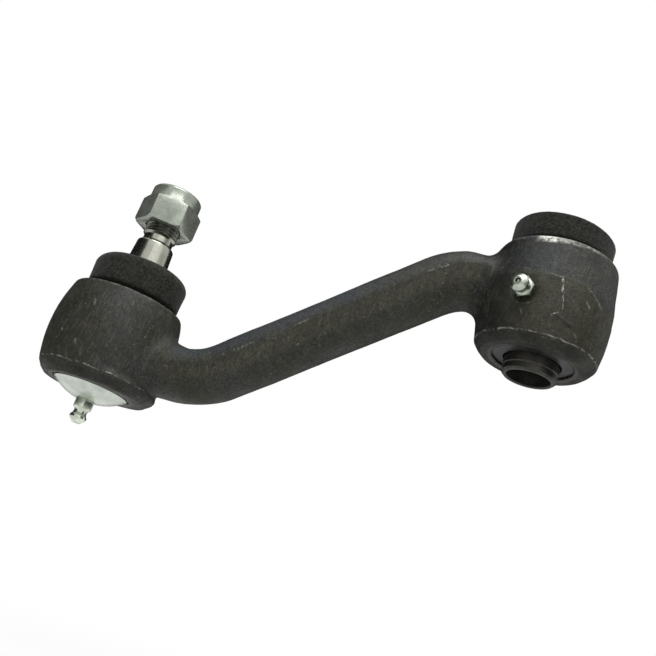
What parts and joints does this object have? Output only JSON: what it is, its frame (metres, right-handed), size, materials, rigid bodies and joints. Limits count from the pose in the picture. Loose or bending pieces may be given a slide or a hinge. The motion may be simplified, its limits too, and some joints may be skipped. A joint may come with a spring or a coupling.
{
  "type": "steering idler arm",
  "caption": "Forged cranked steering idler arm with a greased sleeve pivot at one end and a sprung, greased ball stud with lock nut at the other.",
  "frame": {"origin": "middle of the pivot sleeve's bore", "axes": "+Z along the pivot axis and the stud axis, towards the stud's nut; the stud stands at -X and the side grease fitting points to -Y"},
  "size_m": [0.2099, 0.0564, 0.1292],
  "materials": {
    "forging": "dark oxide forging scale, satin",
    "ground_steel": "machined and ground steel",
    "hard_steel": "hardened steel, oiled",
    "spring_steel": "blued spring steel",
    "bronze": "bearing bronze",
    "plated_steel": "bright zinc plate",
    "cellular_rubber": "black cellular rubber",
    "rubber": "smooth black rubber",
    "nylon": "natural nylon"
  },
  "bodies": {
    "pivot_sleeve": {"pivot_sleeve": "ground_steel"},
    "arm": {"forged_arm": "forging", "pivot_bushing_lower": "bronze", "pivot_bushing_upper": "bronze", "pivot_lower_seal": "rubber", "pivot_retainer": "plated_steel", "pivot_seal": "cellular_rubber", "pivot_fitting": "plated_steel", "pivot_fitting_ball": "hard_steel", "socket_seat": "hard_steel", "cover_plate": "plated_steel", "cover_fitting": "plated_steel", "cover_fitting_ball": "hard_steel", "disc_spring": "spring_steel"},
    "seat": {"pressure_seat": "hard_steel", "stud_seal": "cellular_rubber"},
    "rocker": {"half_ball": "hard_steel"},
    "stud": {"ball_stud": "ground_steel", "lock_nut": "plated_steel", "nut_insert": "nylon"}
  },
  "joints": [
    {"name": "pivot_turn", "type": "hinge", "parent": "pivot_sleeve", "child": "arm", "pos_m": [0, 0, 0], "axis": [0, 0, 1], "continuous": true},
    {"name": "stud_heading", "type": "hinge", "parent": "arm", "child": "seat", "pos_m": [-0.16, 0, -0.0603], "axis": [0, 0, 1], "continuous": true},
    {"name": "stud_rock", "type": "hinge", "parent": "seat", "child": "rocker", "pos_m": [-0.16, 0, -0.0603], "axis": [0, 1, 0], "range_deg": [-12, 12], "deforming": ["stud_seal"]},
    {"name": "stud_spin", "type": "hinge", "parent": "rocker", "child": "stud", "pos_m": [-0.16, 0, -0.0603], "axis": [0, 0, 1], "continuous": true}
  ]
}
